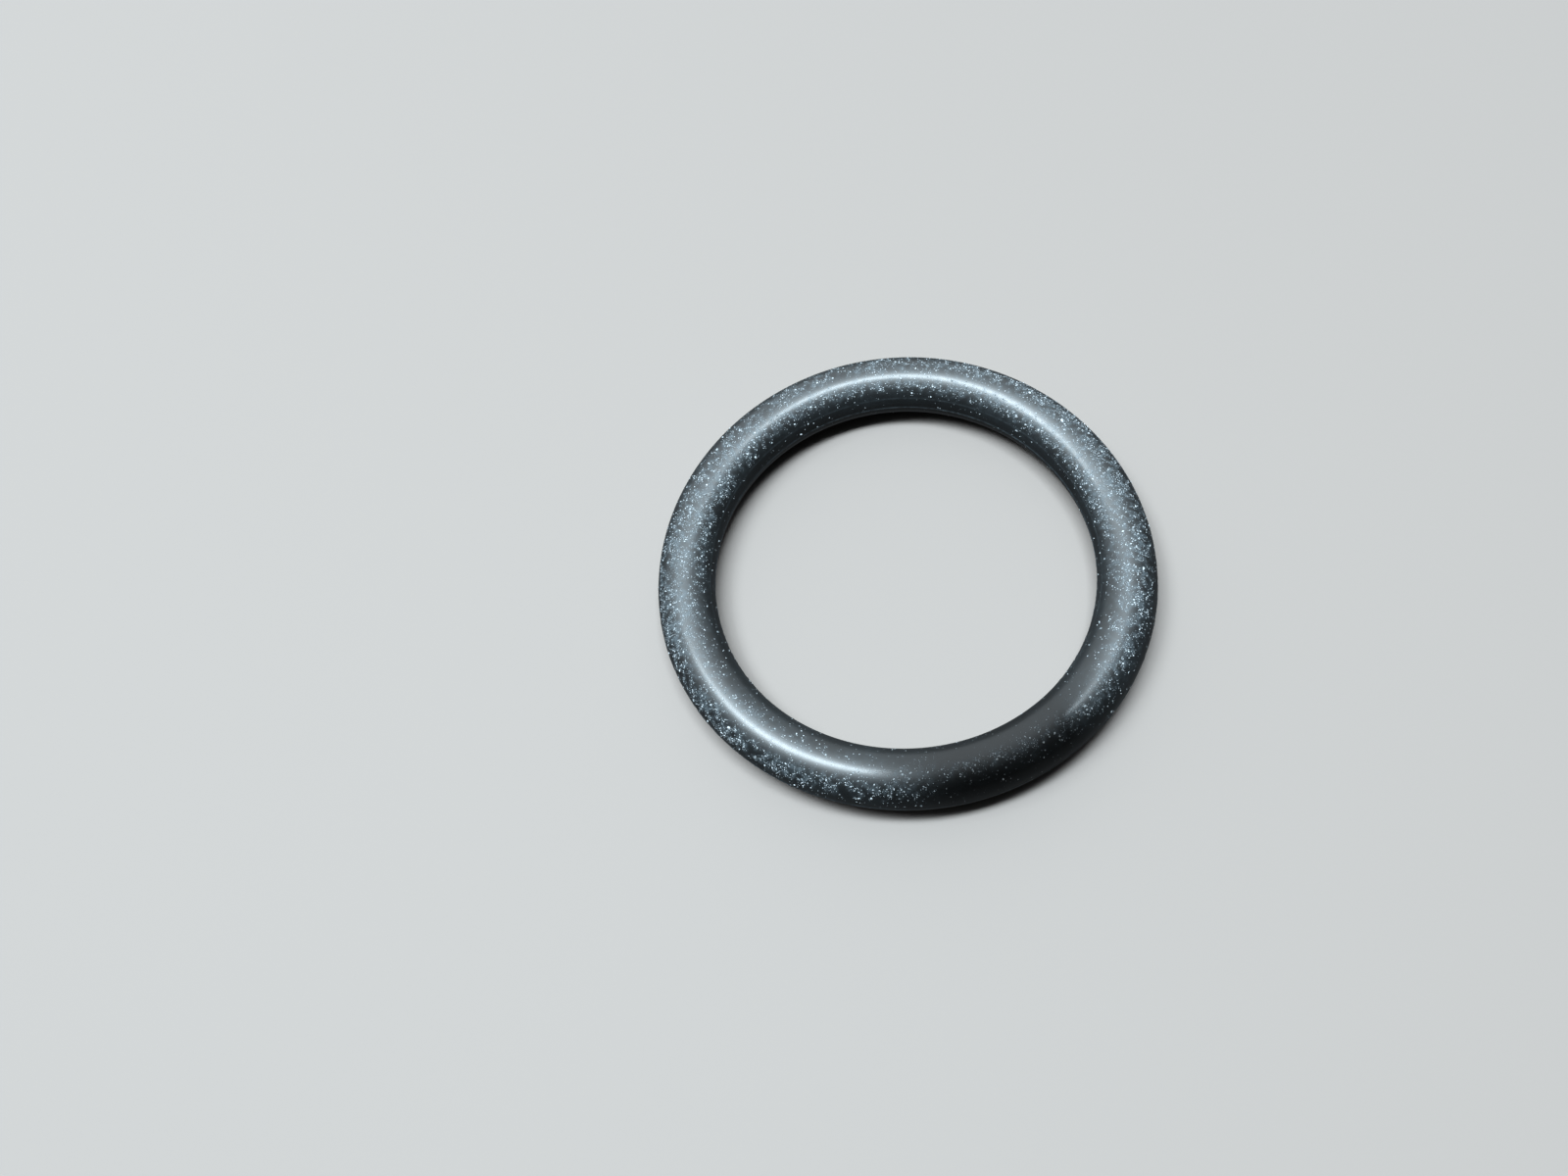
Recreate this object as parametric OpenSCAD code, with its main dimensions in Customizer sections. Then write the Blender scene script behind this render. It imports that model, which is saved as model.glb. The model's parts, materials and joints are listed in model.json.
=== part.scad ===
// Rubber o-ring: a round-section sealing ring that lies flat on its lowest line.
// The section is a plain circle carried once round the ring's axis, so the body is a true torus.
// The two halves of the mould meet at mid height. The flash that squeezes out there is trimmed
// off and leaves a fine flat-topped line round the inner edge and round the outer edge.
// The ring's axis is Z, and the surface that it lies on is Z = 0.

/* [Ring] */
// Inside diameter of the relaxed ring, not counting the flash line
inside_d = 23.39; // [8:0.01:80]
// Diameter of the round section, which is also the height of the ring as it lies
section_d = 3.53; // [1.5:0.01:7]

/* [Flash lines] */
// Width of each trimmed flash line, measured along the ring's axis
flash_w = 0.12; // [0.06:0.01:0.3]
// How far each trimmed flash line stands out of the section
flash_h = 0.04; // [0.02:0.01:0.1]

/* [Smoothness] */
// Number of facets round the ring
ring_facets = 240; // [48:12:480]
// Number of facets round the section
section_facets = 72; // [24:4:120]

/* [Hidden] */
// Radius of the circle that the middle of the section runs along
centre_r = (inside_d + section_d) / 2;
// Height of the plane where the two mould halves meet
parting_z = section_d / 2;
// Distance across the section from the crest of one flash line to the crest of the other
crest_to_crest = section_d + 2 * flash_h;
// Black rubber with a cool, slightly blue cast
rubber_colour = [0.10, 0.115, 0.125];

// The section in the ring's own half plane, with its middle at the origin. A thin bar through
// the middle of the circle comes out at both sides, and its two ends are the flash lines.
module ring_section() {
    circle(d = section_d, $fn = section_facets);
    square([crest_to_crest, flash_w], center = true);
}

// The whole ring, resting on Z = 0 with its axis upright
module o_ring() {
    color(rubber_colour)
        translate([0, 0, parting_z])
            rotate_extrude($fn = ring_facets)
                translate([centre_r, 0])
                    ring_section();
}

o_ring();
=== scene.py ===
"""A black rubber O-ring, lying flat on a pale floor under two soft panels in a dim room.

The ring is one moulding: a round section carried round the ring's axis, with the fine trimmed
line that the mould leaves at the inner and the outer edge. A light dusting of white powder lies
on it, as a haze in the finish and as separate grains that stand on the rubber. In patches the haze
is also painted sheen: it lightens the rubber where its broad highlight falls.
"""

import json
import logging
import math
from collections.abc import Mapping, Sequence
from dataclasses import dataclass
from enum import Enum
from typing import Any

import bpy
import numpy as np
from mathutils import Matrix, Vector


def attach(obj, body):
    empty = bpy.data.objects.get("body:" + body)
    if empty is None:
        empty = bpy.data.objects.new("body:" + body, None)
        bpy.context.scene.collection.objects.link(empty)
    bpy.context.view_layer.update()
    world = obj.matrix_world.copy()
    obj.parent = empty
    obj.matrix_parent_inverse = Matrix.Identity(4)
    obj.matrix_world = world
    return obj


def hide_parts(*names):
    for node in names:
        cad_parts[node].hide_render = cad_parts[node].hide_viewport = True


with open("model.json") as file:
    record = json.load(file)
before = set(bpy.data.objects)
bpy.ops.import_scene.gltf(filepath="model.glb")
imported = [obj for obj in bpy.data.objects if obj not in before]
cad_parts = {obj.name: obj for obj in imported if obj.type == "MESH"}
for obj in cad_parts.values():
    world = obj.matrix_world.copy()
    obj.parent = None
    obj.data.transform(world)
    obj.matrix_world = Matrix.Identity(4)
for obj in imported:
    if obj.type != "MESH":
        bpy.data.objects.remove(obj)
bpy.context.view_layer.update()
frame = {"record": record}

RING_NODE = "o_ring"
RING_BODY = "root"
MM = 0.001
MICRON = 1e-6
FULL_TURN = 2 * math.pi
# Waves a turn that make a moulded line ragged
RAGGED_WAVES = (17, 43, 71, 118, 163, 211)
# How much of a line's raggedness is there on average, and how far the waves swing it
RAGGED_MIDDLE = 0.5
RAGGED_SWING = 0.9
# The section angle of the ring's lowest point
LOWEST_DEG = 270.0
# The name under which a piece's own unwrapping is kept when its finish is baked
UNWRAPPING = "OFBake"

log = logging.getLogger("o_ring")


class Skin(Enum):
    """What the ring's mesh carries at each of its points, for the finish to read."""

    SECTION = "section_place"
    # How much powder lies at a point, and in patches how much painted sheen lightens it
    DUST_AND_SHEEN = "powder_cover"
    TRIM = "trimmed_line"


# ------------------------------------------------------------------ shader maths


@dataclass(frozen=True)
class SpeckSize:
    """One size of powder speck in a finish.

    The pitch is the size of the cells of space that hold a speck each, in metres, and the radius
    is the largest speck's, as a share of it. The amount is the share of the cells that hold a
    speck where dust is 1. Smallest and edge are the smallest speck's radius and the width of a
    speck's soft edge, as shares of the largest speck's radius.
    """

    pitch: float
    radius: float
    amount: float
    smallest: float = 0.4
    edge: float = 0.35


@dataclass(frozen=True)
class Signal:
    """A number that varies over a surface, on which Python's operators add Math nodes."""

    paint: "Paint"
    socket: bpy.types.NodeSocket

    def maths(self, operation: str, *values: Any, clamp: bool = False) -> "Signal":
        """Adds one Math node.

        Args:
            operation: The node's operation.
            values: Its inputs, each a signal or a number.
            clamp: Whether the result is held between 0 and 1.

        Returns:
            The node's result.
        """
        settings = {"operation": operation, "use_clamp": clamp}
        made = self.paint.node("ShaderNodeMath", settings, dict(enumerate(values)))
        return Signal(self.paint, made.outputs[0])

    def __add__(self, other: Any) -> "Signal":
        """This signal plus another."""
        return self.maths("ADD", self, other)

    __radd__ = __add__

    def __mul__(self, other: Any) -> "Signal":
        """This signal times another."""
        return self.maths("MULTIPLY", self, other)

    def __sub__(self, other: Any) -> "Signal":
        """This signal less another."""
        return self.maths("SUBTRACT", self, other)

    def __rsub__(self, other: Any) -> "Signal":
        """Another signal, or a number, less this one."""
        return self.maths("SUBTRACT", other, self)

    def __lt__(self, other: Any) -> "Signal":
        """1 where this signal is under the other, and 0 elsewhere."""
        return self.maths("LESS_THAN", self, other)

    def held(self) -> "Signal":
        """This signal, held between 0 and 1."""
        return self.maths("ADD", self, 0.0, clamp=True)

    def most(self, other: Any) -> "Signal":
        """The larger of two signals."""
        return self.maths("MAXIMUM", self, other)

    def rise(self, low: Any, high: Any) -> "Signal":
        """A smooth step, from 0 where this signal is at low to 1 where it is at high.

        Args:
            low: The value at which the step starts.
            high: The value at which it ends.

        Returns:
            The step.
        """
        settings = {"interpolation_type": "SMOOTHSTEP"}
        inputs = {"Value": self, "From Min": low, "From Max": high}
        made = self.paint.node("ShaderNodeMapRange", settings, inputs)
        return Signal(self.paint, made.outputs["Result"])


class Paint:
    """One material or world, built node by node."""

    def __init__(self, tree: bpy.types.NodeTree) -> None:
        """Starts with no nodes.

        Args:
            tree: The node tree of the material or the world.
        """
        self.tree = tree
        self.tree.nodes.clear()

    def node(self, kind: str, settings: Mapping[str, Any], inputs: Mapping[Any, Any]) -> bpy.types.Node:
        """Adds a node, sets it up and feeds it.

        Args:
            kind: The node's type.
            settings: The node's own settings, which are set before its inputs.
            inputs: A number, colour, socket or signal for each named or numbered input.

        Returns:
            The node.
        """
        made = self.tree.nodes.new(kind)
        for name, value in settings.items():
            setattr(made, name, value)
        for name, value in inputs.items():
            source = value.socket if isinstance(value, Signal) else value
            if isinstance(source, bpy.types.NodeSocket):
                self.tree.links.new(source, made.inputs[name])
            else:
                made.inputs[name].default_value = source
        return made

    def place(self) -> bpy.types.NodeSocket:
        """A point's place in the object's own frame, in metres."""
        return self.node("ShaderNodeTexCoord", {}, {}).outputs["Object"]

    def carried(self, skin: Skin) -> bpy.types.Node:
        """Something that the mesh carries at each of its points."""
        return self.node("ShaderNodeAttribute", {"attribute_name": skin.value}, {})

    def share(self, skin: Skin) -> Signal:
        """A number that the mesh carries at each of its points."""
        return Signal(self, self.carried(skin).outputs["Fac"])

    def noise(self, grain: float, detail: float, at: bpy.types.NodeSocket) -> Signal:
        """Cloudy noise, about 0.5 on average.

        Args:
            grain: The size of its largest clouds, in metres.
            detail: How many finer layers it has.
            at: Its coordinates, in metres.

        Returns:
            The noise.
        """
        inputs = {"Vector": at, "Scale": 1 / grain, "Detail": detail}
        return Signal(self, self.node("ShaderNodeTexNoise", {}, inputs).outputs["Fac"])

    def specks(self, kind: SpeckSize, dust: Signal, at: bpy.types.NodeSocket) -> Signal:
        """Scattered round specks, one at most in each cell of space.

        A cell holds a speck where its own random number is under the dust times the amount. The
        speck is a soft-edged spot round the cell's point, and its size varies with a second
        random number.

        Args:
            kind: The specks' spacing, size and amount.
            dust: How dusty the surface is.
            at: The coordinates, in metres.

        Returns:
            1 inside a speck and 0 outside.
        """
        cell = self.node("ShaderNodeTexVoronoi", {}, {"Vector": at, "Scale": 1 / kind.pitch})
        chance = self.node("ShaderNodeSeparateColor", {}, {"Color": cell.outputs["Color"]})
        here = Signal(self, chance.outputs[0]) < dust * kind.amount
        smallest = kind.smallest * kind.radius
        radius = Signal(self, chance.outputs[1]) * (kind.radius - smallest) + smallest
        inside = radius - Signal(self, cell.outputs["Distance"])
        return here * inside.rise(0.0, kind.edge * kind.radius)

    def colours(self, low: Any, high: Any, share: Signal) -> bpy.types.NodeSocket:
        """Mixes two colours.

        Args:
            low: The colour, or the socket that gives it, where share is 0.
            high: The same where share is 1.
            share: The share of the second colour.

        Returns:
            The mixed colour.
        """
        settings = {"data_type": "RGBA", "clamp_factor": True}
        return self.node("ShaderNodeMix", settings, {0: share, 6: low, 7: high}).outputs[2]

    def tilted(self, height: Signal, depth: float) -> bpy.types.NodeSocket:
        """Turns a height into a tilt of the surface.

        Args:
            height: The height, as a share of depth.
            depth: How far the surface stands out where the height is 1, in metres.

        Returns:
            The tilted normal.
        """
        return self.node("ShaderNodeBump", {}, {"Distance": depth, "Height": height}).outputs["Normal"]

    def finish(self, inputs: Mapping[Any, Any]) -> None:
        """Ends a material in one surface shader that takes these inputs."""
        surface = self.node("ShaderNodeBsdfPrincipled", {}, inputs).outputs["BSDF"]
        self.node("ShaderNodeOutputMaterial", {}, {"Surface": surface})


def rgba(colour: Sequence[float]) -> tuple[float, float, float, float]:
    """A colour with full opacity."""
    return (*colour, 1.0)


def blank_material(name: str) -> tuple[bpy.types.Material, Paint]:
    """Makes a material with no nodes.

    Args:
        name: The material's name.

    Returns:
        The material, and the paint that fills it.
    """
    material = bpy.data.materials.new(name)
    material.use_nodes = True
    return material, Paint(material.node_tree)


# ---------------------------------------------------------------------- finishes


@dataclass(frozen=True)
class BlackRubber:
    """Smooth moulded black rubber with a soft sheen, fine tool marks and a pale haze that is partly powder
    and partly painted sheen.
    """

    black: tuple[float, float, float] = (0.0013, 0.0020, 0.0024)
    grey: tuple[float, float, float] = (0.0030, 0.0044, 0.0052)
    # The pale haze's colour: powder, and painted sheen where the cover's patches lift it
    haze_and_sheen: tuple[float, float, float] = (0.066, 0.086, 0.099)
    powder: tuple[float, float, float] = (0.30, 0.335, 0.36)
    rough: float = 0.52
    coat: float = 0.42
    coat_rough: float = 0.26
    ior: float = 1.50
    # The sizes of the clouds of grey, the wisps of bloom, the tool marks and the skin's grain
    cloud_size: float = 2.5 * MM
    wisp_size: float = 0.30 * MM
    mark_size: float = 0.05 * MM
    grain_size: float = 0.05 * MM
    # Dust is so much of the cover, which holds powder and painted sheen, and of the clouds, less a little
    dust_from_cover: float = 0.9
    dust_from_clouds: float = 0.3
    dust_less: float = 0.16
    fine_specks: SpeckSize = SpeckSize(pitch=0.075 * MM, radius=0.42, amount=0.60)
    coarse_specks: SpeckSize = SpeckSize(pitch=0.14 * MM, radius=0.38, amount=0.40)
    speck_white: float = 0.75
    # Between which values of their noise the clouds and the wisps come in
    cloud_step: tuple[float, float] = (0.35, 0.65)
    wisp_step: tuple[float, float] = (0.30, 0.75)
    # How strong the pale haze is on dust, where it is partly painted sheen, and on the trimmed lines
    haze_and_sheen_on_dust: float = 0.55
    haze_on_trim: float = 0.48
    # How much the haze and the specks roughen the rubber, and how much the haze dulls its coat
    haze_and_sheen_roughens: float = 0.2
    specks_roughen: float = 0.35
    haze_and_sheen_dulls: float = 0.4
    # The relief of the marks, the grain and the specks, as shares of its depth
    mark_relief: float = 0.45
    grain_relief: float = 0.22
    speck_relief: float = 0.9
    relief_depth: float = 7 * MICRON

    def material(self) -> bpy.types.Material:
        """Builds the rubber.

        The base colour is black, clouded with a little grey. A thin pale haze greys it where the mesh
        carries its cover, and two sizes of speck lie on that. The haze is powder, and where the cover's
        patches are strong it is also painted sheen that lightens the rubber round its broad highlight.
        Tool marks are noise that changes across the section and hardly at all round the ring.

        Returns:
            The material.
        """
        material, paint = blank_material("black_rubber")
        at = paint.place()
        cover = paint.share(Skin.DUST_AND_SHEEN)
        trim = paint.share(Skin.TRIM)
        clouds = paint.noise(self.cloud_size, 3.0, at)
        wisps = paint.noise(self.wisp_size, 3.0, at)
        marks = paint.noise(self.mark_size, 1.0, paint.carried(Skin.SECTION).outputs["Vector"])
        grain = paint.noise(self.grain_size, 2.0, at)

        dust = (cover * self.dust_from_cover + clouds * self.dust_from_clouds - self.dust_less).held()
        fine = paint.specks(self.fine_specks, dust, at)
        specks = fine.most(paint.specks(self.coarse_specks, dust, at))
        # The pale haze: powder and painted sheen on the dusty cover, and a lighter tone on the trimmed lines
        wisped = dust * wisps.rise(*self.wisp_step)
        haze_and_sheen = (wisped * self.haze_and_sheen_on_dust + trim * self.haze_on_trim).held()

        rubber = paint.colours(rgba(self.black), rgba(self.grey), clouds.rise(*self.cloud_step))
        with_haze_and_sheen = paint.colours(rubber, rgba(self.haze_and_sheen), haze_and_sheen)
        colour = paint.colours(with_haze_and_sheen, rgba(self.powder), specks * self.speck_white)
        height = marks * self.mark_relief + grain * self.grain_relief + specks * self.speck_relief
        rough = self.rough + haze_and_sheen * self.haze_and_sheen_roughens + specks * self.specks_roughen
        paint.finish(
            {
                "Base Color": colour,
                "Roughness": rough.held(),
                "IOR": self.ior,
                "Coat Weight": (self.coat - haze_and_sheen * self.haze_and_sheen_dulls - specks).held(),
                "Coat Roughness": self.coat_rough,
                "Normal": paint.tilted(height, self.relief_depth),
            }
        )
        return material


@dataclass(frozen=True)
class PowderGrain:
    """Chalky white-grey powder, each grain a slightly different grey."""

    dark: tuple[float, float, float] = (0.085, 0.100, 0.110)
    pale: tuple[float, float, float] = (0.42, 0.45, 0.47)
    rough: float = 0.85
    shade_size: float = 0.25 * MM
    shade_step: tuple[float, float] = (0.30, 0.70)

    def material(self) -> bpy.types.Material:
        """Builds the powder, whose grey is noise a little coarser than a grain.

        Returns:
            The material.
        """
        material, paint = blank_material("white_powder")
        at = paint.place()
        shade = paint.noise(self.shade_size, 1.0, at).rise(*self.shade_step)
        colour = paint.colours(rgba(self.dark), rgba(self.pale), shade)
        paint.finish({"Base Color": colour, "Roughness": self.rough})
        return material


@dataclass(frozen=True)
class PaleFloor:
    """A plain pale matt surface."""

    colour: tuple[float, float, float] = (0.170, 0.146, 0.132)
    rough: float = 0.75

    def material(self) -> bpy.types.Material:
        """Builds the floor's plain finish."""
        material, paint = blank_material("pale_floor")
        paint.finish({"Base Color": rgba(self.colour), "Roughness": self.rough})
        return material


# ------------------------------------------------------------------------ shapes


def mesh_object(name: str, points: np.ndarray, faces: np.ndarray) -> bpy.types.Object:
    """Puts points and faces into a new smooth-shaded object at the origin.

    Args:
        name: The object's name.
        points: The points, one row of three metres each.
        faces: The faces, one row of point numbers each, all with as many corners.

    Returns:
        The object, in the scene.
    """
    corners = faces.shape[1]
    mesh = bpy.data.meshes.new(name)
    mesh.vertices.add(len(points))
    mesh.vertices.foreach_set("co", points.astype(np.float32).ravel())
    mesh.loops.add(faces.size)
    mesh.loops.foreach_set("vertex_index", faces.astype(np.int32).ravel())
    mesh.polygons.add(len(faces))
    mesh.polygons.foreach_set("loop_start", np.arange(0, faces.size, corners, dtype=np.int32))
    mesh.update(calc_edges=True)
    mesh.validate()
    mesh.shade_smooth()
    made = bpy.data.objects.new(name, mesh)
    bpy.context.scene.collection.objects.link(made)
    return made


def away(angle: np.ndarray, middle: float | np.ndarray) -> np.ndarray:
    """How far an angle is from a middle one, the short way round, in degrees with its sign."""
    return (np.degrees(angle) - middle + 180.0) % 360.0 - 180.0


def bell(offset: np.ndarray, spread: float) -> np.ndarray:
    """A bell curve of height 1: e to the power of minus the square of offset over spread."""
    return np.exp(-((offset / spread) ** 2))


@dataclass(frozen=True)
class RingSize:
    """The ring's sizes, as the frame gives them, in metres."""

    centre_r: float
    middle_z: float
    section_r: float
    trim_height: float
    trim_width: float

    @classmethod
    def from_frame(cls) -> "RingSize":
        """Works the sizes out from the mounts, which are exact where the CAD mesh is a little small.

        Returns:
            The sizes.
        """
        mounts = {m["name"]: m for m in frame["record"]["mounts"]}
        inner, outer = (mounts[name]["dims"]["r_mm"] * MM for name in ("inner_seat", "outer_seat"))
        crown, lowest = (mounts[name]["pos_m"][2] for name in ("upper_seal_line", "lower_seal_line"))
        section_r = (crown - lowest) / 2
        return cls(
            centre_r=(inner + outer) / 2,
            middle_z=(crown + lowest) / 2,
            section_r=section_r,
            trim_height=(outer - inner) / 2 - section_r,
            trim_width=mounts["inner_seat"]["dims"]["length_mm"] * MM,
        )


@dataclass(frozen=True)
class MouldLine:
    """A fine raised line that runs round the ring at one place on its section.

    The section angle is 0 at the outer edge, 90 at the top and 180 at the inner edge.
    """

    section_deg: float
    width: float
    height: float
    ragged: float

    def relief(self, turn: np.ndarray, section: np.ndarray, section_r: float) -> np.ndarray:
        """The line's height over the plain section.

        Across the line it is a flat crest with rounded shoulders, 1 over 1 plus the fourth
        power of the offset over half the width. Along it, sines of whole numbers of waves that
        don't repeat together make its height ragged.

        Args:
            turn: Angles round the ring, in radians.
            section: Angles round the section, in radians.
            section_r: The section's radius.

        Returns:
            The height in metres at each angle.
        """
        across = np.radians(away(section, self.section_deg)) * section_r / (self.width / 2)
        waves = sum(np.sin(n * turn + n * n) for n in RAGGED_WAVES) / len(RAGGED_WAVES)
        along = 1.0 - self.ragged * (RAGGED_MIDDLE + RAGGED_SWING * waves).clip(0, 1)
        return self.height * along / (1.0 + across**4)


@dataclass(frozen=True)
class Patch:
    """A soft-edged patch on the ring: its middle and spread in degrees, and its strength."""

    turn_deg: float
    turn_spread: float
    section_deg: float
    section_spread: float
    strength: float

    def over(self, turn: np.ndarray, section: np.ndarray) -> np.ndarray:
        """The patch's strength at each pair of angles: a bell curve round the ring times one across it."""
        round_way = bell(away(turn, self.turn_deg), self.turn_spread)
        across = bell(away(section, self.section_deg), self.section_spread)
        return self.strength * round_way * across


@dataclass(frozen=True)
class Wear:
    """Where powder has settled on the ring, and where painted sheen lightens it round its broad highlight.
    """

    powder_everywhere: float = 0.035
    # Patches of powder, some placed and sized as painted sheen on the shoulders of the highlight
    powder: tuple[Patch, ...] = (
        Patch(10, 28, 70, 30, 0.95),
        Patch(45, 24, 62, 14, 0.75),
        Patch(34, 32, 125, 15, 0.70),
        Patch(88, 42, 74, 24, 0.55),
        Patch(84, 50, 119, 13, 0.95),
        Patch(135, 20, 95, 26, 0.70),
        Patch(168, 22, 80, 30, 1.00),
        Patch(185, 20, 42, 18, 0.80),
        Patch(214, 23, 38, 20, 0.90),
        Patch(215, 25, 98, 18, 0.35),
        Patch(248, 14, 52, 18, 0.55),
        Patch(8, 24, 124, 16, 0.70),
        Patch(146, 26, 125, 16, 0.60),
        Patch(280, 28, 82, 14, 0.55),
        Patch(310, 20, 66, 18, 0.65),
        Patch(335, 22, 80, 26, 0.90),
    )

    clump_seed: int = 31
    clump_waves: int = 48
    clump_depth: float = 0.62
    clump_most: float = 2.2
    most_waves_round: int = 150
    most_waves_across: int = 18

    def clumps(self, turn: np.ndarray, section: np.ndarray) -> np.ndarray:
        """How the powder gathers in clumps: about 1 on average, and never under 0.

        It is a sum of sines, each with a whole number of waves round the ring and round the
        section and a phase of its own, so that it closes on itself both ways.

        Args:
            turn: Angles round the ring, in radians.
            section: Angles round the section, in radians.

        Returns:
            The clumping at each pair of angles.
        """
        rng = np.random.default_rng(self.clump_seed)
        round_way = rng.integers(-self.most_waves_round, self.most_waves_round + 1, self.clump_waves)
        across = rng.integers(-self.most_waves_across, self.most_waves_across + 1, self.clump_waves)
        phase = rng.random(self.clump_waves) * FULL_TURN
        waves = sum(np.sin(n * turn + m * section + p) for n, m, p in zip(round_way, across, phase))
        even = waves * math.sqrt(2 / self.clump_waves)
        return (1.0 + self.clump_depth * even).clip(0.0, self.clump_most)

    def cover(self, turn: np.ndarray, section: np.ndarray) -> np.ndarray:
        """The cover of powder and painted sheen, from 0 to 1: a thin layer and every patch of it, gathered
        in clumps.
        """
        spread = self.powder_everywhere + sum(p.over(turn, section) for p in self.powder)
        return (spread * self.clumps(turn, section)).clip(0.0, 1.0)


@dataclass(frozen=True)
class RingSurface:
    """The ring's skin as a function of two angles: the turn round the ring and the section angle.

    The ring lies very slightly out of round, as a soft ring does: three shallow lobes.
    """

    size: RingSize
    lobe_share: float = 0.0039
    lobe_deg: float = 80.0
    lobes: int = 3

    @property
    def lines(self) -> tuple[MouldLine, ...]:
        """The trimmed lines at the outer and inner edge, and a faint one a little above the inner."""
        width, height = self.size.trim_width, self.size.trim_height
        return (
            MouldLine(section_deg=0.0, width=width, height=height, ragged=0.55),
            MouldLine(section_deg=180.0, width=width, height=height, ragged=0.55),
            MouldLine(section_deg=154.0, width=0.10 * MM, height=0.012 * MM, ragged=0.80),
        )

    def centre_r(self, turn: np.ndarray) -> np.ndarray:
        """The radius of the section's middle: the mean one plus a cosine of three lobes a turn."""
        lobes = np.cos(self.lobes * (turn - math.radians(self.lobe_deg)))
        return self.size.centre_r * (1.0 + self.lobe_share * lobes)

    def relief(self, turn: np.ndarray, section: np.ndarray) -> np.ndarray:
        """How far the mould's lines stand out of the plain section."""
        return sum(line.relief(turn, section, self.size.section_r) for line in self.lines)

    def trimmed(self, turn: np.ndarray, section: np.ndarray) -> np.ndarray:
        """The lines' height as a share of the trimmed line's height."""
        return (self.relief(turn, section) / self.size.trim_height).clip(0.0, 1.0)

    def outward(self, turn: np.ndarray, section: np.ndarray) -> np.ndarray:
        """The plain section's outward direction.

        Args:
            turn: Angles round the ring, in radians.
            section: Angles round the section, in radians.

        Returns:
            Unit vectors, along a last axis of three.
        """
        flat = np.cos(section)
        return np.stack([flat * np.cos(turn), flat * np.sin(turn), np.sin(section)], axis=-1)

    def points(self, turn: np.ndarray, section: np.ndarray, lift: np.ndarray) -> np.ndarray:
        """Points at a height over the plain section.

        The section's middle runs along the centre line, and a point is that middle plus the
        section's radius and the lift, along the outward direction.

        Args:
            turn: Angles round the ring, in radians.
            section: Angles round the section, in radians.
            lift: Heights over the plain section, in metres.

        Returns:
            The points, along a last axis of three.
        """
        turn, section, lift = np.broadcast_arrays(turn, section, lift)
        middle_r = self.centre_r(turn)
        middle = np.stack(
            [middle_r * np.cos(turn), middle_r * np.sin(turn), np.full_like(middle_r, self.size.middle_z)],
            axis=-1,
        )
        return middle + (self.size.section_r + lift)[..., None] * self.outward(turn, section)


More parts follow.
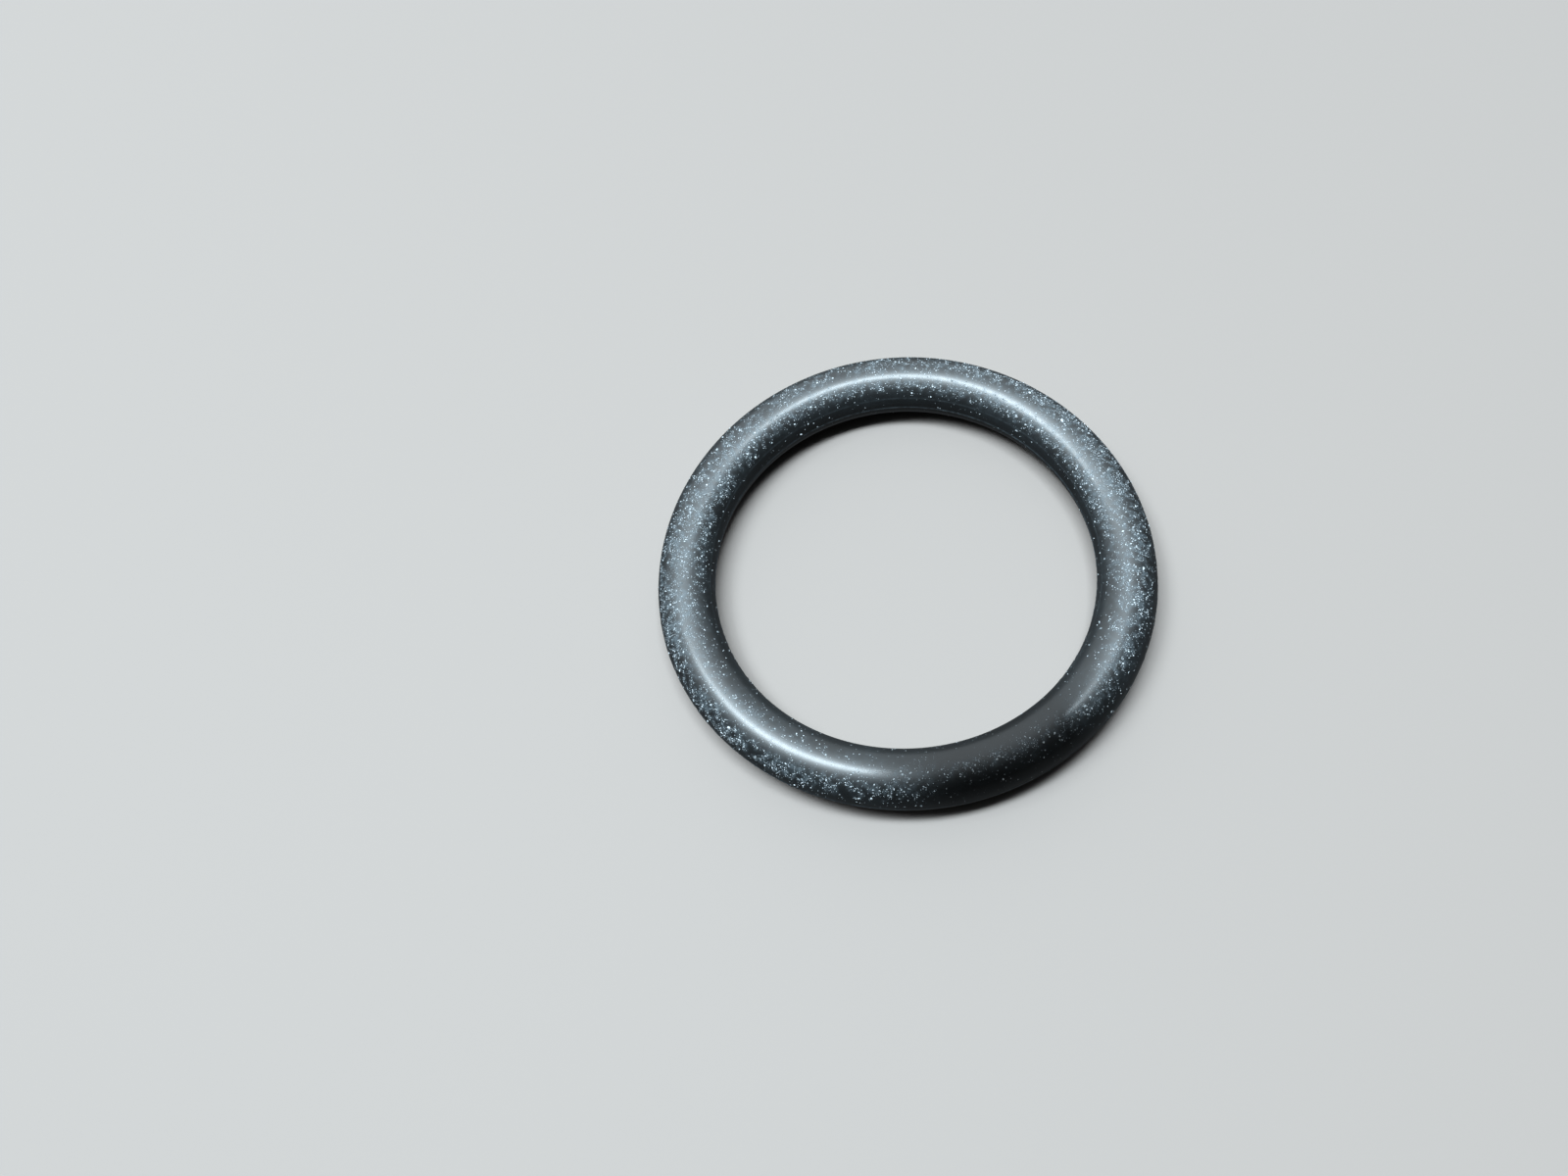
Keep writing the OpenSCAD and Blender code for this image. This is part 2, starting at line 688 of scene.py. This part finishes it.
@dataclass(frozen=True)
class MouldedRing:
    """The rubber ring itself, as one closed skin."""

    surface: RingSurface
    wear: Wear
    finish: BlackRubber
    steps_round: int = 960
    section_step_deg: float = 5.0
    # How far from a line's middle the plain steps stop, and the finer steps on each side of it
    line_clear_deg: float = 4.9
    line_angles_deg: tuple[float, ...] = (0.9, 1.7, 2.4, 3.2, 4.4)
    unwrapped_rows: int = 3
    row_margin: float = 0.006
    # How fast the tool marks change round the ring, as a share of its radius
    mark_drift: float = 0.004

    def section_angles(self) -> np.ndarray:
        """Angles round the section, from its lowest point, closer together at the mould's lines.

        Returns:
            The angles in radians, without the last one that meets the first.
        """
        plain = np.arange(0.0, 360.0, self.section_step_deg)
        middles = np.array([line.section_deg for line in self.surface.lines])
        clear = np.abs(away(np.radians(plain)[:, None], middles)) > self.line_clear_deg
        half = np.array(self.line_angles_deg)
        close = np.concatenate([-half[::-1], [0.0], half])
        every = np.concatenate([plain[clear.all(axis=1)], (middles[:, None] + close).ravel()])
        return np.radians(LOWEST_DEG + np.sort((every - LOWEST_DEG) % 360.0))

    def grid(self) -> tuple[np.ndarray, np.ndarray]:
        """The turn and section angles of every point, one row a turn angle."""
        turn = np.arange(self.steps_round) * FULL_TURN / self.steps_round
        return np.meshgrid(turn, self.section_angles(), indexing="ij")

    def faces(self, rounds: int, across: int) -> tuple[np.ndarray, np.ndarray]:
        """Joins a grid that closes on itself both ways into four-cornered faces.

        Args:
            rounds: Points round the ring.
            across: Points round the section.

        Returns:
            The faces' point numbers, and for each corner its unwrapped step round the ring and
            round the section, neither of which closes.
        """
        i, j = (a.ravel() for a in np.meshgrid(np.arange(rounds), np.arange(across), indexing="ij"))
        corners = ((0, 0), (1, 0), (1, 1), (0, 1))
        steps = np.stack([np.stack([i + a, j + b], axis=-1) for a, b in corners], axis=1)
        return (steps[..., 0] % rounds) * across + steps[..., 1] % across, steps

    def unwrapping(self, steps: np.ndarray, section: np.ndarray) -> np.ndarray:
        """Lays the skin out flat, cut along its lowest line and into rows, one above the other.

        Args:
            steps: Each corner's step round the ring and round the section.
            section: The section's angles.

        Returns:
            Each corner's place on the square from 0 to 1.
        """
        closed = np.append(section, section[0] + FULL_TURN)
        across = (closed - closed[0])[steps[..., 1]] / FULL_TURN
        row_steps = self.steps_round // self.unwrapped_rows
        row = steps[:, :1, 0] // row_steps
        along = (steps[..., 0] - row * row_steps) / row_steps
        height = 1.0 / self.unwrapped_rows - 2 * self.row_margin
        u = self.row_margin + along * (1 - 2 * self.row_margin)
        v = row / self.unwrapped_rows + self.row_margin + across * height
        return np.stack([u, v], axis=-1)

    def build(self) -> bpy.types.Object:
        """Makes the ring, carries its skin's values on the mesh, and dresses it.

        Returns:
            The finished ring.
        """
        turn, section = self.grid()
        rounds, across = turn.shape
        points = self.surface.points(turn, section, self.surface.relief(turn, section))
        faces, steps = self.faces(rounds, across)
        ring = mesh_object("rubber_ring", points.reshape(-1, 3), faces)
        mesh = ring.data

        layer = mesh.uv_layers.new(name=UNWRAPPING)
        layer.uv.foreach_set("vector", self.unwrapping(steps, section[0]).astype(np.float32).ravel())
        section_r = self.surface.size.section_r
        drift = self.mark_drift * self.surface.size.centre_r
        across_way, up_way = section_r * np.cos(section), section_r * np.sin(section)
        place = np.stack([across_way, up_way, drift * np.cos(turn)], axis=-1)
        self.carry(mesh, Skin.SECTION, "FLOAT_VECTOR", place)
        self.carry(mesh, Skin.DUST_AND_SHEEN, "FLOAT", self.wear.cover(turn, section))
        self.carry(mesh, Skin.TRIM, "FLOAT", self.surface.trimmed(turn, section))
        mesh.materials.append(self.finish.material())
        return ring

    @staticmethod
    def carry(mesh: bpy.types.Mesh, skin: Skin, kind: str, values: np.ndarray) -> None:
        """Stores values on the mesh's points.

        Args:
            mesh: The mesh.
            skin: What the values are.
            kind: The kind of attribute.
            values: A number or a vector for each point, in the points' order.
        """
        attribute = mesh.attributes.new(skin.value, kind, "POINT")
        field = "vector" if kind == "FLOAT_VECTOR" else "value"
        attribute.data.foreach_set(field, values.astype(np.float32).ravel())


@dataclass(frozen=True)
class PowderGrains:
    """The larger grains of powder, each a small flattened lump that is set a little into the rubber."""

    surface: RingSurface
    wear: Wear
    finish: PowderGrain
    count: int = 7000
    usual_r: float = 0.027 * MM
    spread: float = 0.45
    largest_r: float = 0.085 * MM
    seed: int = 213
    # Shares of a grain's radius: how its points are pushed in or out, its length, breadth and
    # height, how far its middle stands out of the rubber, and its least height over the floor
    bent: tuple[float, float] = (0.70, 1.15)
    stretch: tuple[tuple[float, float], ...] = ((0.9, 1.5), (0.6, 1.0), (0.40, 0.70))
    stands_out: float = 0.12
    floor_clear: float = 2.5
    draws_per_grain: int = 30
    # A grain's share of its square cell, and how far its height leans it, for its unwrapping
    cell_share: float = 0.28
    cell_lean: tuple[float, float] = (0.11, 0.07)
    # Lone big grains: turn and section in degrees, and radius in mm
    lone: tuple[tuple[float, float, float], ...] = (
        (127, 142, 0.125),
        (104, 125, 0.100),
        (73, 142, 0.080),
        (188, 147, 0.110),
        (110, 172, 0.080),
        (120, 144, 0.075),
        (346, 144, 0.075),
        (29, 83, 0.120),
        (41, 69, 0.105),
        (45, 68, 0.100),
        (95, 82, 0.090),
        (151, 81, 0.090),
        (214, 24, 0.100),
        (249, 31, 0.090),
    )

    def lump(self) -> tuple[np.ndarray, np.ndarray]:
        """A ball of twenty triangles: twelve points at the golden ratio's corners.

        Returns:
            The points, one unit from the middle, and the faces.
        """
        g = (1 + math.sqrt(5)) / 2
        corners = [
            (-1, g, 0), (1, g, 0), (-1, -g, 0), (1, -g, 0), (0, -1, g), (0, 1, g),
            (0, -1, -g), (0, 1, -g), (g, 0, -1), (g, 0, 1), (-g, 0, -1), (-g, 0, 1),
        ]  # fmt: skip
        faces = [
            (0, 11, 5), (0, 5, 1), (0, 1, 7), (0, 7, 10), (0, 10, 11), (1, 5, 9), (5, 11, 4),
            (11, 10, 2), (10, 7, 6), (7, 1, 8), (3, 9, 4), (3, 4, 2), (3, 2, 6), (3, 6, 8),
            (3, 8, 9), (4, 9, 5), (2, 4, 11), (6, 2, 10), (8, 6, 7), (9, 8, 1),
        ]  # fmt: skip
        return np.array(corners, float) / math.hypot(1, g), np.array(faces)

    def scattered(self, rng: np.random.Generator) -> tuple[np.ndarray, np.ndarray]:
        """Picks where grains lie, more of them where the cover of powder and painted sheen is greater.

        Points are drawn evenly over the skin, whose area goes with the distance from the axis,
        and kept with a chance equal to the cover there.

        Args:
            rng: The source of chance.

        Returns:
            The turn and section angles.
        """
        drawn = self.draws_per_grain * self.count
        turn, section, chance = rng.random((3, drawn)) * np.array([[FULL_TURN], [FULL_TURN], [1.0]])
        size = self.surface.size
        area = (size.centre_r + size.section_r * np.cos(section)) / (size.centre_r + size.section_r)
        kept = np.flatnonzero(chance < area * self.wear.cover(turn, section))[: self.count]
        return turn[kept], section[kept]

    def unwrapping(self, ball: np.ndarray, corners: np.ndarray) -> np.ndarray:
        """Lays every grain out flat in a square cell of its own, as it looks from a little aside.

        Args:
            ball: The lump's points.
            corners: The point number of each corner of each face.

        Returns:
            Each corner's place on the square from 0 to 1.
        """
        grain, point = np.divmod(corners, len(ball))
        cells = math.ceil(math.sqrt(grain.max() + 1))
        cell = np.stack([grain % cells, grain // cells], axis=-1)
        seen = ball[:, :2] * self.cell_share + ball[:, 2:] * self.cell_lean
        return (cell + 0.5 + seen[point]) / cells

    def build(self) -> bpy.types.Object:
        """Makes every grain as a bent and flattened lump, in one mesh.

        Each grain's points are the lump's, pushed in or out at random, stretched along one
        random direction in the skin, flattened across it, and turned to stand on the skin.

        Returns:
            The finished piece.
        """
        rng = np.random.default_rng(self.seed)
        turn, section = self.scattered(rng)
        radius = self.usual_r * np.exp(self.spread * rng.standard_normal(len(turn)))
        radius = radius.clip(max=self.largest_r)
        lone = np.array(self.lone)
        turn = np.append(turn, np.radians(lone[:, 0]))
        section = np.append(section, np.radians(lone[:, 1]))
        radius = np.append(radius, lone[:, 2] * MM)
        # A grain on the ring's lowest part would reach under the surface that the ring lies on
        clear = self.surface.points(turn, section, 0.0 * turn)[:, 2] > self.floor_clear * radius
        turn, section, radius = turn[clear], section[clear], radius[clear]
        count = len(turn)

        ball, faces = self.lump()
        lumps = ball * rng.uniform(*self.bent, (count, len(ball), 1))
        shape = np.stack([rng.uniform(*limits, count) for limits in self.stretch], axis=-1)
        lumps = lumps * shape[:, None, :]
        up = self.surface.outward(turn, section)
        round_way = np.stack([-np.sin(turn), np.cos(turn), 0.0 * turn], axis=-1)
        side_way = np.cross(up, round_way)
        spin = rng.uniform(0.0, FULL_TURN, count)[:, None]
        first = np.cos(spin) * round_way + np.sin(spin) * side_way
        axes = np.stack([first, np.cross(up, first), up], axis=1)
        place = self.surface.points(turn, section, self.stands_out * radius)
        points = place[:, None, :] + radius[:, None, None] * (lumps @ axes)
        numbers = (np.arange(count)[:, None, None] * len(ball) + faces).reshape(-1, 3)
        grains = mesh_object("powder_grains", points.reshape(-1, 3), numbers)
        layer = grains.data.uv_layers.new(name=UNWRAPPING)
        layer.uv.foreach_set("vector", self.unwrapping(ball, numbers.ravel()).astype(np.float32).ravel())
        grains.data.materials.append(self.finish.material())
        return grains


# ------------------------------------------------------------------------- studio


@dataclass(frozen=True)
class FloorDisc:
    """The plain floor, a wide flat disc at the height that the ring lies on."""

    radius: float
    finish: PaleFloor
    steps_round: int = 96

    def build(self) -> bpy.types.Object:
        """Makes the disc as one face whose points are a circle, counter-clockwise from above.

        Returns:
            The floor.
        """
        turn = np.arange(self.steps_round) * FULL_TURN / self.steps_round
        points = self.radius * np.stack([np.cos(turn), np.sin(turn), 0 * turn], axis=-1)
        floor = mesh_object("studio_floor", points, np.arange(self.steps_round)[None])
        floor.data.materials.append(self.finish.material())
        # The room's dark lower half stands in for the floor where the rubber mirrors it
        floor.visible_glossy = False
        return floor


@dataclass(frozen=True)
class SoftPanel:
    """A long soft light that looks down at the ring.

    Its place is given on a level plane over the ring, as shares of the plane's height.
    """

    name: str
    height: float
    aside: float
    beyond: float
    length: float
    width: float
    turn_deg: float
    brightness: float
    colour: tuple[float, float, float]

    def build(
        self, target: Vector, lit: bpy.types.Collection, shading: bpy.types.Collection
    ) -> bpy.types.Object:
        """Hangs the light and aims it.

        A panel's power is its brightness times its area times pi.

        Args:
            target: The point that it looks at.
            lit: What it lights.
            shading: What casts a shadow in its light.

        Returns:
            The light.
        """
        data = bpy.data.lights.new(self.name, "AREA")
        data.shape = "RECTANGLE"
        data.size, data.size_y = self.length * self.height, self.width * self.height
        data.energy = self.brightness * math.pi * data.size * data.size_y
        data.color = self.colour
        light = bpy.data.objects.new(self.name, data)
        bpy.context.scene.collection.objects.link(light)
        light.location = target + Vector((self.aside, self.beyond, 1.0)) * self.height
        light.rotation_euler = (0.0, 0.0, math.radians(self.turn_deg))
        light.visible_camera = False
        light.light_linking.receiver_collection = lit
        light.light_linking.blocker_collection = shading
        return light


def gathered(name: str, members: Sequence[bpy.types.Object]) -> bpy.types.Collection:
    """Gathers objects into a new collection.

    Args:
        name: The collection's name.
        members: The objects.

    Returns:
        The collection.
    """
    made = bpy.data.collections.new(name)
    for member in members:
        made.objects.link(member)
    return made


@dataclass(frozen=True)
class LightFlag:
    """A card over part of the ring, which only keeps the panels' light off it.

    Its place and size are shares of the ring's radius.
    """

    aside: float = 0.13
    beyond: float = -0.96
    height: float = 0.75
    length: float = 1.05
    width: float = 0.41
    turn_deg: float = 13.0

    def build(self, middle: Vector, ring_r: float) -> bpy.types.Object:
        """Makes the card as one four-cornered face.

        Args:
            middle: The ring's middle.
            ring_r: The radius that the section's middle runs along.

        Returns:
            The card, which no view and no reflection shows.
        """
        corners = np.array([(-1, -1), (1, -1), (1, 1), (-1, 1)]) * (self.length / 2, self.width / 2)
        turn = math.radians(self.turn_deg)
        turned = corners @ np.array([(math.cos(turn), math.sin(turn)), (-math.sin(turn), math.cos(turn))])
        points = np.column_stack([turned + (self.aside, self.beyond), np.full(4, self.height)]) * ring_r
        card = mesh_object("light_flag", points + np.array(middle), np.arange(4)[None])
        card.visible_camera = False
        card.visible_glossy = False
        card.visible_diffuse = False
        return card


@dataclass(frozen=True)
class SoftRoom:
    """The dim room round the ring: brighter overhead and beyond it, darker behind the viewer."""

    colour: tuple[float, float, float] = (0.84, 0.94, 1.0)
    dark: float = 0.02
    bright: float = 1.55
    ground: float = 0.10
    backdrop: tuple[float, float, float] = (0.66, 0.66, 0.65)
    lean: tuple[float, float, float] = (-0.10, 0.85, 0.52)
    # Between which values the brightness rises: of the height over the level, and towards the lean
    level_step: tuple[float, float] = (-0.05, 0.10)
    lean_step: tuple[float, float] = (0.10, 0.95)

    def build(self) -> None:
        """Builds the world.

        Its brightness rises smoothly towards one direction over the level, and is the dim
        ground's under it. The camera sees a plain backdrop.
        """
        world = bpy.data.worlds.new("soft_room")
        world.use_nodes = True
        bpy.context.scene.world = world
        paint = Paint(world.node_tree)
        towards = paint.node("ShaderNodeTexCoord", {}, {}).outputs["Generated"]
        facing = paint.node("ShaderNodeVectorMath", {"operation": "DOT_PRODUCT"}, {0: towards, 1: self.lean})
        level = paint.node("ShaderNodeSeparateXYZ", {}, {"Vector": towards})
        over = Signal(paint, level.outputs["Z"]).rise(*self.level_step)
        rise = Signal(paint, facing.outputs["Value"]).rise(*self.lean_step)
        strength = over * (rise * (self.bright - self.dark) + (self.dark - self.ground)) + self.ground
        room = paint.node("ShaderNodeBackground", {}, {"Color": rgba(self.colour), "Strength": strength})
        plain = paint.node("ShaderNodeBackground", {}, {"Color": rgba(self.backdrop), "Strength": 1.0})
        seen = paint.node("ShaderNodeLightPath", {}, {}).outputs["Is Camera Ray"]
        mixed = paint.node("ShaderNodeMixShader", {}, {0: seen, 1: room.outputs[0], 2: plain.outputs[0]})
        paint.node("ShaderNodeOutputWorld", {}, {"Surface": mixed.outputs[0]})


@dataclass(frozen=True)
class Viewpoint:
    """Where the camera stands, with distances in ring radii from the middle of the section.

    The elevation is above the floor, the roll is about the line of sight, and aside, above and
    away give the ring's middle as the camera sees it.
    """

    elevation_deg: float = 64.11
    roll_deg: float = -13.38
    aside: float = 0.545
    above: float = 0.085
    away: float = 6.274
    lens_mm: float = 31.5
    sensor_mm: float = 36.0

    def build(self, middle: Vector, ring_r: float) -> bpy.types.Object:
        """Makes the camera and gives it to the scene.

        Args:
            middle: The ring's middle.
            ring_r: The radius that the section's middle runs along.

        Returns:
            The camera.
        """
        tip, roll = math.radians(self.elevation_deg), math.radians(self.roll_deg)
        look = Vector((0.0, math.cos(tip), -math.sin(tip)))
        level, lifted = Vector((1.0, 0.0, 0.0)), Vector((0.0, math.sin(tip), math.cos(tip)))
        right = level * math.cos(roll) + lifted * math.sin(roll)
        up = lifted * math.cos(roll) - level * math.sin(roll)
        data = bpy.data.cameras.new("viewpoint")
        data.lens, data.sensor_width = self.lens_mm, self.sensor_mm
        data.clip_start = MM
        camera = bpy.data.objects.new("viewpoint", data)
        bpy.context.scene.collection.objects.link(camera)
        facing = Matrix((right, up, -look)).transposed().to_4x4()
        stand = middle - (self.aside * right + self.above * up + self.away * look) * ring_r
        camera.matrix_world = Matrix.Translation(stand) @ facing
        bpy.context.scene.camera = camera
        return camera


@dataclass(frozen=True)
class Studio:
    """The floor, lights, room and camera round the ring.

    The panels' height and the floor's radius are given in the ring's radius.
    """

    size: RingSize
    middle: Vector
    panel_height: float = 60.0
    floor_reach: float = 20.0
    panel_light: tuple[float, float, float] = (0.76, 0.91, 1.0)

    @property
    def panels(self) -> tuple[SoftPanel, ...]:
        """A long narrow panel overhead, and a short broad one that carries it on to the left."""
        height = self.panel_height * self.size.centre_r
        return (
            SoftPanel(
                name="long_panel",
                height=height,
                aside=-0.07,
                beyond=0.075,
                length=0.72,
                width=0.20,
                turn_deg=-2.0,
                brightness=68.0,
                colour=self.panel_light,
            ),
            SoftPanel(
                name="broad_panel",
                height=height,
                aside=-0.50,
                beyond=0.16,
                length=0.26,
                width=0.44,
                turn_deg=0.0,
                brightness=36.0,
                colour=self.panel_light,
            ),
        )

    def build(self, pieces: Sequence[bpy.types.Object]) -> None:
        """Builds the whole studio, and gathers the floor and the card apart from the ring for the panels'
        light links.

        Args:
            pieces: The ring's pieces.
        """
        disc = FloorDisc(radius=self.floor_reach * self.size.centre_r, finish=PaleFloor())
        floor = disc.build()
        log.info("floor: a disc of %.0f mm radius", disc.radius / MM)
        flag = LightFlag().build(self.middle, self.size.centre_r)
        plain = gathered("ring_pieces", pieces)
        flagged = gathered("ring_pieces_and_flag", [*pieces, flag])
        ground = gathered("ground", [floor])
        for panel in self.panels:
            # Each panel hangs twice, because the card may shade the ring but not the floor
            panel.build(self.middle, ground, plain)
            panel.build(self.middle, plain, flagged)
        SoftRoom().build()
        Viewpoint().build(self.middle, self.size.centre_r)
        scene = bpy.context.scene
        scene.view_settings.view_transform = "Standard"
        log.info("studio: %d soft panels, a dim room and the camera", len(self.panels))


def main() -> None:
    """Builds the studio, the ring and its powder, and reports each piece."""
    logging.basicConfig(level=logging.INFO, format="%(name)s: %(message)s")
    size = RingSize.from_frame()
    surface = RingSurface(size)
    wear = Wear()
    ring = MouldedRing(surface, wear, BlackRubber()).build()
    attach(ring, RING_BODY)
    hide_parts(RING_NODE)
    log.info("rubber_ring: %d points, %d faces", len(ring.data.vertices), len(ring.data.polygons))

    grains = PowderGrains(surface, wear, PowderGrain()).build()
    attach(grains, RING_BODY)
    log.info("powder_grains: %d points, %d faces", len(grains.data.vertices), len(grains.data.polygons))
    Studio(size, Vector((0.0, 0.0, size.middle_z))).build([ring, grains])


if __name__ == "__main__":
    main()
